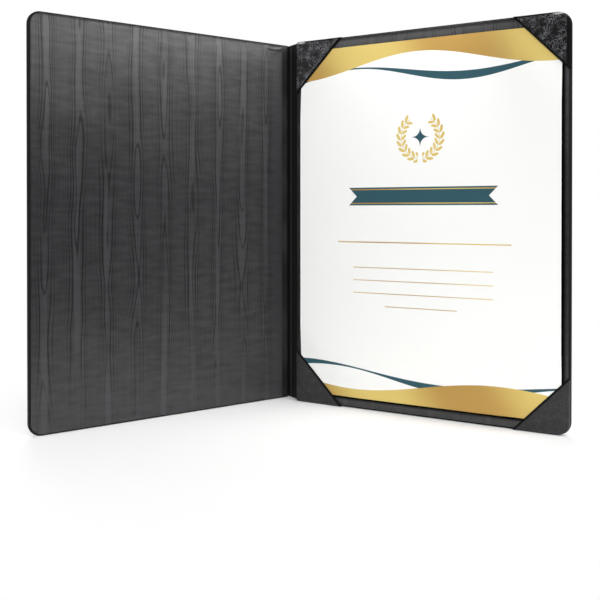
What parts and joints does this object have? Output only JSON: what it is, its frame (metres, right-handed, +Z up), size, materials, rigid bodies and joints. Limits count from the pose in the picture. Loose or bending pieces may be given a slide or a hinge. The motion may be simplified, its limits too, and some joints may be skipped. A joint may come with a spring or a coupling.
{
  "type": "certificate holder",
  "caption": "Book-style leatherette holder with padded covers, watered cloth linings, a creased spine and corner pockets that keep one upright certificate sheet.",
  "frame": {"origin": "centre of the footprint's box, on the surface that the open holder stands on", "axes": "+Z up the spine, +X to the right across the open covers as read, +Y from the reader to the spine"},
  "size_m": [0.3806, 0.155, 0.2974],
  "materials": {
    "leatherette": "matt black, fine grain",
    "pocket_leatherette": "satin black, pebbled grain",
    "moire_cloth": "grey watered cloth with a soft sheen",
    "grey_board": "matt",
    "foam": "matt soft foam sheet",
    "paper": "smooth white paper"
  },
  "bodies": {
    "back_cover": {"back_skin": "leatherette", "back_pad": "foam", "back_board": "grey_board", "back_hinge_strip": "leatherette", "back_lining_card": "grey_board", "back_lining": "moire_cloth", "pocket_top_spine": "pocket_leatherette", "pocket_bottom_spine": "pocket_leatherette", "pocket_top_fore": "pocket_leatherette", "pocket_bottom_fore": "pocket_leatherette", "certificate": "paper"},
    "spine": {"spine_skin": "leatherette", "spine_liner": "leatherette"},
    "front_cover": {"front_skin": "leatherette", "front_pad": "foam", "front_board": "grey_board", "front_hinge_strip": "leatherette", "front_lining_card": "grey_board", "front_lining": "moire_cloth"}
  },
  "joints": [
    {"name": "back_crease", "type": "hinge", "parent": "spine", "child": "back_cover", "pos_m": [0.00395, 0.06163, 0.1487], "axis": [0, 0, -1], "range_deg": [-9, 108]},
    {"name": "front_crease", "type": "hinge", "parent": "spine", "child": "front_cover", "pos_m": [-0.00395, 0.07714, 0.1487], "axis": [0, 0, 1], "range_deg": [-98.5, 1]}
  ]
}
